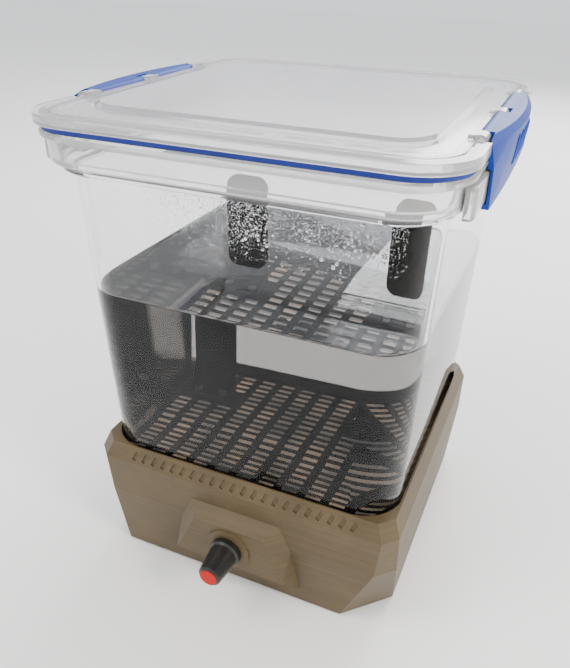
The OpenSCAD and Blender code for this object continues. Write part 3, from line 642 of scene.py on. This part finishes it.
def add_clusters(bm, rng):
    """Bigger droplets where fine ones ran together."""
    for middle_x, middle_z, count, spread in CLUSTERS:
        for _ in range(count):
            x = middle_x + rng.gauss(0, spread)
            z = min(middle_z + rng.gauss(0, spread * 0.8), NECK_STEP - 2)
            radius = rng.uniform(0.3, 0.8)
            stretch = rng.uniform(1.0, 1.25)
            dome(bm, on_front(x, z), FRONT_NORMAL, radius, radius * 0.55, sides=10, stretch=stretch)


def make_condensation():
    """Droplets on the inner front wall, above the solvent."""
    rng = random.Random(7)
    bm = bmesh.new()
    add_mist(bm, rng)
    add_clusters(bm, rng)
    piece = mesh_object("condensation", bm, WATER)
    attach(piece, "tub")


make_condensation()


GROOVE_Y = MID_Y - 67.5
RUNS = [(-30, 12), (20, 37), (41, 53), (57, 74)]               # stretches of x where liquid is caught
PANEL_DROPS = 60
PANEL_REACH_X, PANEL_REACH_Y = 58, 56
UNDER_GROOVE, UNDER_PANEL = 200, 206       # the lid's underside is looked for upwards from these heights


def add_runs(bm, rng, surface):
    """Beads side by side in the front groove."""
    for start, end in RUNS:
        x = start
        while x < end:
            radius = rng.uniform(0.35, 0.7)
            y = GROOVE_Y + rng.gauss(0, 0.7)
            place = hit(surface, Vector((x, y, UNDER_GROOVE)), Vector((0, 0, 1)))
            if place:
                dome(bm, place, Vector((0, 0, -1)), radius, radius * 0.8, sides=7)
            x += radius * rng.uniform(0.7, 1.3)


def add_panel_drops(bm, rng, surface):
    """Scattered flat drops under the raised panel."""
    for _ in range(PANEL_DROPS):
        x = rng.uniform(-PANEL_REACH_X, PANEL_REACH_X)
        y = MID_Y + rng.uniform(-PANEL_REACH_Y, PANEL_REACH_Y)
        place = hit(surface, Vector((x, y, UNDER_PANEL)), Vector((0, 0, 1)))
        if place:
            radius = rng.uniform(0.4, 1.1)
            dome(bm, place, Vector((0, 0, -1)), radius, radius * 0.4, sides=9)


def make_groove_water():
    """Liquid caught under the lid."""
    rng = random.Random(11)
    surface = node_surface("lid")
    bm = bmesh.new()
    add_runs(bm, rng, surface)
    add_panel_drops(bm, rng, surface)
    piece = mesh_object("lid_droplets", bm, WATER)
    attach(piece, "lid")


make_groove_water()


# ---------- clip ribs ----------

RIBS = 5
RIB_PITCH = 7.0
RIB_LOW, RIB_HIGH = 201.0, 213.0
RIB_RADIUS = 0.7
RIB_WIDENING = 1.4                         # a section's width as a multiple of its depth
RIB_STEPS = 12
RIB_SIDES = 8
OUTSIDE = 120                              # a clip's outer face is looked for inwards from this x


def rib_line(surface, side, y):
    """Points up a clip's outer face at y."""
    line = []
    for i in range(RIB_STEPS + 1):
        z = RIB_LOW + (RIB_HIGH - RIB_LOW) * i / RIB_STEPS
        place = hit(surface, Vector((side * OUTSIDE, y, z)), Vector((-side, 0, 0)))
        if place:
            line.append(place)
    return line


def rib_rings(line):
    """Sections along a line, square to it, that taper to round ends."""
    across = Vector((0, 1, 0))
    last = len(line) - 1
    rings = []
    for i, place in enumerate(line):
        along = (line[min(i + 1, last)] - line[max(i - 1, 0)]).normalized()
        out = across.cross(along).normalized()
        radius = RIB_RADIUS * math.sqrt(max(1 - (2 * i / last - 1) ** 6, 0.02))
        ring = []
        for j in range(RIB_SIDES):
            angle = math.tau * j / RIB_SIDES
            offset = across * (math.cos(angle) * RIB_WIDENING) + out * math.sin(angle)
            ring.append(place + offset * radius)
        rings.append(ring)
    return rings


def make_ribs(clip, side):
    """Grip ribs on a clip's outer face, half sunk in it; side is the sign of x."""
    surface = node_surface(clip)
    middle = sum(corners(clip), Vector()).y / 2
    bm = bmesh.new()
    for k in range(RIBS):
        y = middle + (k - (RIBS - 1) / 2) * RIB_PITCH
        loft(bm, rib_rings(rib_line(surface, side, y)))
    piece = mesh_object(clip + "_ribs", bm, MATERIALS["clip_blue"])
    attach(piece, clip)


make_ribs("left_clip", -1)
make_ribs("right_clip", 1)


# ---------- floor, light and camera ----------

def make_floor():
    """Large pale floor just under the feet."""
    bm = bmesh.new()
    bmesh.ops.create_grid(bm, x_segments=1, y_segments=1, size=3000)
    material, tree, shader = new_material("floor")
    shader.inputs["Base Color"].default_value = (0.95, 0.95, 0.95, 1)
    shader.inputs["Roughness"].default_value = 0.7
    floor = mesh_object("floor", bm, material, smooth=False)
    floor.location.z = -0.2 * MM


def area_light(name, place, target, size, power, colour=(1, 1, 1)):
    """Round light at place that faces target."""
    data = bpy.data.lights.new(name, "AREA")
    data.shape = "DISK"
    data.size = size
    data.energy = power
    data.color = colour
    light = bpy.data.objects.new(name, data)
    light.location = place
    direction = Vector(target) - Vector(place)
    light.rotation_euler = direction.to_track_quat("-Z", "Y").to_euler()
    bpy.context.scene.collection.objects.link(light)


def make_lights():
    """Warm light from the front and the right, a wide light from behind and a pale sky."""
    middle = (0, 0, 0.1)
    area_light("key", (-0.55, -0.55, 0.95), middle, 0.6, 7, (1.0, 0.96, 0.9))
    area_light("side", (0.9, -0.35, 0.7), middle, 0.35, 9, (1.0, 0.9, 0.78))
    area_light("back", (0.1, 1.0, 0.8), middle, 0.9, 16)
    world = bpy.data.worlds.new("studio")
    world.use_nodes = True
    background = world.node_tree.nodes["Background"]
    background.inputs["Color"].default_value = (0.95, 0.97, 1.0, 1)
    background.inputs["Strength"].default_value = 1.25
    bpy.context.scene.world = world


CAMERA_AZIMUTH = 23.4
CAMERA_ELEVATION = 29.7
CAMERA_ROLL = 0.87
CAMERA_DISTANCE = 0.3345
CAMERA_TARGET = Vector((-0.00402, -0.00174, 0.10502))
CAMERA_LENS = 36.77


def make_camera():
    """Camera at the reference view: azimuth 0 looks along +Y, elevation above the horizon."""
    azimuth = math.radians(CAMERA_AZIMUTH)
    elevation = math.radians(CAMERA_ELEVATION)
    roll = math.radians(CAMERA_ROLL)
    back = Vector((
        math.sin(azimuth) * math.cos(elevation),
        -math.cos(azimuth) * math.cos(elevation),
        math.sin(elevation),
    ))
    right = Vector((0, 0, 1)).cross(back).normalized()
    up = back.cross(right)
    rolled_right = right * math.cos(roll) + up * math.sin(roll)
    rolled_up = up * math.cos(roll) - right * math.sin(roll)
    turn = Matrix((rolled_right, rolled_up, back)).transposed().to_4x4()
    data = bpy.data.cameras.new("camera")
    data.lens = CAMERA_LENS
    data.sensor_width = 36
    data.clip_start = 0.01
    camera = bpy.data.objects.new("camera", data)
    camera.matrix_world = Matrix.Translation(CAMERA_TARGET + back * CAMERA_DISTANCE) @ turn
    bpy.context.scene.collection.objects.link(camera)
    bpy.context.scene.camera = camera


make_floor()
make_lights()
make_camera()
